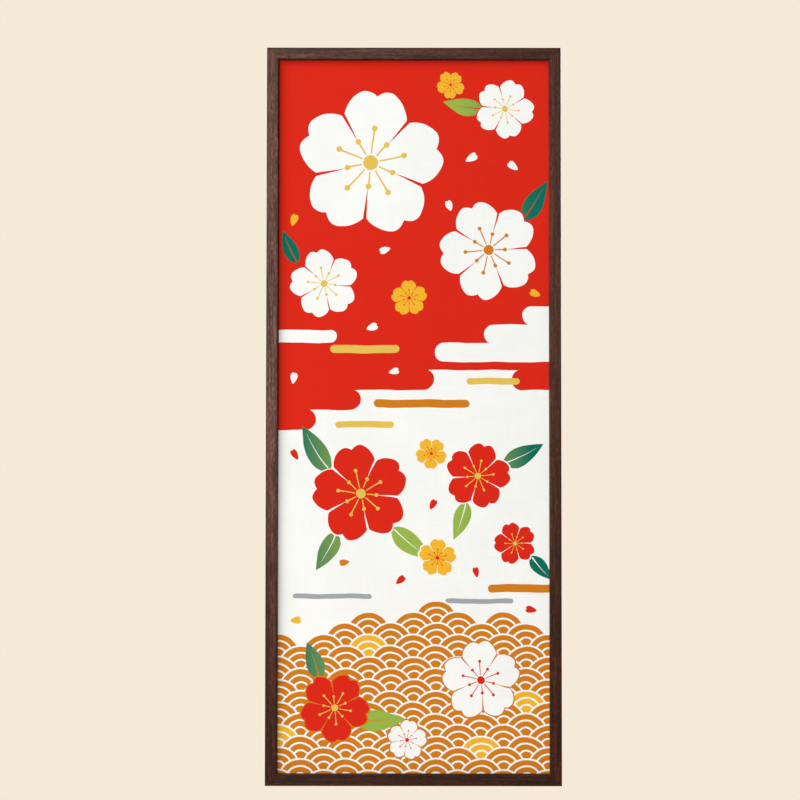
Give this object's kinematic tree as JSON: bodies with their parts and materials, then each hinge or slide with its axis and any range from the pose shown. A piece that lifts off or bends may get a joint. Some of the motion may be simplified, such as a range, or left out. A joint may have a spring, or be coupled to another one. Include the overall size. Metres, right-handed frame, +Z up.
{
  "type": "tenugui towel in a wooden frame",
  "caption": "Flat cotton tenugui towel, dyed red, white and ochre, held taut in a slim mitred dark wood frame with a plain backing board; hangs on a wall by its top rail.",
  "frame": {"origin": "middle of the top rail's back face, where a wall hanger holds the frame", "axes": "+Z up along the long side, +Y out of the back towards the wall, so the printed face looks along -Y, and +X to the right as seen from the front"},
  "size_m": [0.368, 0.02, 0.92],
  "materials": {
    "frame_wood": "satin",
    "dyed_cotton": "matte",
    "board_wood": "matte"
  },
  "bodies": {
    "root": {"rail_top": "frame_wood", "rail_bottom": "frame_wood", "rail_left": "frame_wood", "rail_right": "frame_wood", "tenugui": "dyed_cotton", "backing_board": "board_wood"}
  },
  "joints": []
}
